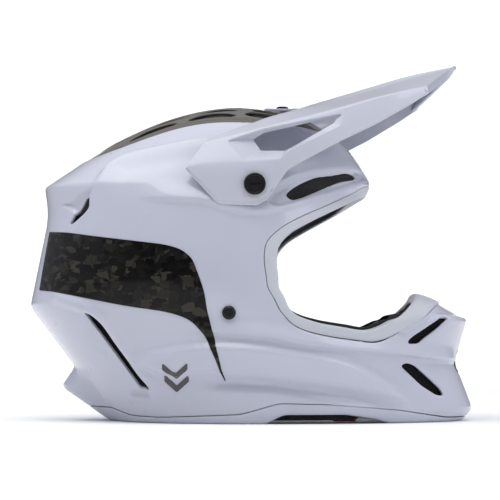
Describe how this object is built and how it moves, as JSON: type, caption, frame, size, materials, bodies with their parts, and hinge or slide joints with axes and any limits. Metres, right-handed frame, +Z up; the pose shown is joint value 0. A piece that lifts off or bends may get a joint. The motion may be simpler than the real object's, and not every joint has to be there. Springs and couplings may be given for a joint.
{
  "type": "motocross helmet",
  "caption": "Off-road helmet: wrap-round shell with chin bar and wide eyeport, tilting peaked visor, vented crown, foam and fabric liners, pull-off cheek pads and a double-ring chin strap.",
  "frame": {"origin": "on the surface the helmet stands on, under the middle of its bounding box", "axes": "+X forward out of the face opening, +Y to the rider's left, +Z up"},
  "size_m": [0.3768, 0.2548, 0.3045],
  "materials": {
    "shell_paint": "gloss clear coat over pale lavender white",
    "visor_paint": "gloss, pale lavender white",
    "edge_trim": "satin moulded edge",
    "smoked_plastic": "smoked, slightly glossy",
    "vent_mesh": "black mesh",
    "filter_foam": "open-cell foam",
    "eps_foam": "dark moulded bead foam",
    "slip_layer": "smooth, low friction",
    "liner_fabric": "brushed knit over foam",
    "red_webbing": "woven tape",
    "strap_webbing": "woven webbing",
    "ring_steel": "polished wire",
    "black_hardware": "black, semi-matt",
    "rubber": "matt rubber"
  },
  "bodies": {
    "helmet": {"outer_shell": "shell_paint", "eyeport_trim": "edge_trim", "neck_trim": "edge_trim", "crown_vent_insert": "smoked_plastic", "brow_vent_mesh_left": "vent_mesh", "brow_vent_mesh_right": "vent_mesh", "chin_vent_upper_mesh_left": "vent_mesh", "chin_vent_upper_mesh_right": "vent_mesh", "chin_vent_lower_mesh_left": "vent_mesh", "chin_vent_lower_mesh_right": "vent_mesh", "rear_slot_mesh_left": "vent_mesh", "rear_slot_mesh_right": "vent_mesh", "rear_exhaust_mesh_left": "vent_mesh", "rear_exhaust_mesh_right": "vent_mesh", "mouth_vent_grille": "vent_mesh", "mouth_vent_filter": "filter_foam", "eps_liner": "eps_foam", "chin_foam": "eps_foam", "cheek_foam_block_left": "eps_foam", "cheek_foam_block_right": "eps_foam", "slip_liner": "slip_layer", "comfort_liner": "liner_fabric", "neck_roll": "liner_fabric", "chin_strap_left": "strap_webbing", "chin_strap_right": "strap_webbing", "strap_anchor_left": "ring_steel", "strap_anchor_right": "ring_steel", "strap_rivet_left": "black_hardware", "strap_rivet_right": "black_hardware", "visor_grommet_left": "rubber", "visor_grommet_right": "rubber"},
    "visor_assembly": {"visor": "visor_paint"},
    "visor_screw_left_body": {"visor_screw_left": "black_hardware"},
    "visor_screw_right_body": {"visor_screw_right": "black_hardware"},
    "visor_middle_screw_body": {"visor_middle_screw": "black_hardware"},
    "cheek_pad_left_body": {"cheek_pad_left": "liner_fabric", "cheek_release_tab_left": "red_webbing"},
    "cheek_pad_right_body": {"cheek_pad_right": "liner_fabric", "cheek_release_tab_right": "red_webbing"},
    "d_ring_lower_body": {"d_ring_lower": "ring_steel"},
    "d_ring_upper_body": {"d_ring_upper": "ring_steel"}
  },
  "joints": [
    {"name": "visor_tilt", "type": "hinge", "parent": "helmet", "child": "visor_assembly", "pos_m": [0.00383, 0, 0.196], "axis": [0, 1, 0], "range_deg": [-6, 6]},
    {"name": "visor_screw_left_turn", "type": "hinge", "parent": "helmet", "child": "visor_screw_left_body", "pos_m": [0.00383, 0.12, 0.196], "axis": [0, 1, 0], "continuous": true},
    {"name": "visor_screw_right_turn", "type": "hinge", "parent": "helmet", "child": "visor_screw_right_body", "pos_m": [0.00383, -0.12, 0.196], "axis": [0, 1, 0], "continuous": true},
    {"name": "visor_middle_screw_turn", "type": "hinge", "parent": "visor_assembly", "child": "visor_middle_screw_body", "pos_m": [0.02684, 0, 0.27], "axis": [0, 0, 1], "continuous": true},
    {"name": "cheek_pad_left_pull", "type": "slide", "parent": "helmet", "child": "cheek_pad_left_body", "axis": [0, -1, 0], "range_m": [0, 0.012]},
    {"name": "cheek_pad_right_pull", "type": "slide", "parent": "helmet", "child": "cheek_pad_right_body", "axis": [0, 1, 0], "range_m": [0, 0.012]},
    {"name": "d_ring_lower_swing", "type": "hinge", "parent": "helmet", "child": "d_ring_lower_body", "pos_m": [-0.01716, 0.031, 0.0102], "axis": [1, 0, 0], "range_deg": [0, 6]},
    {"name": "d_ring_upper_swing", "type": "hinge", "parent": "helmet", "child": "d_ring_upper_body", "pos_m": [-0.01716, 0.031, 0.0144], "axis": [-1, 0, 0], "range_deg": [0, 10]}
  ]
}
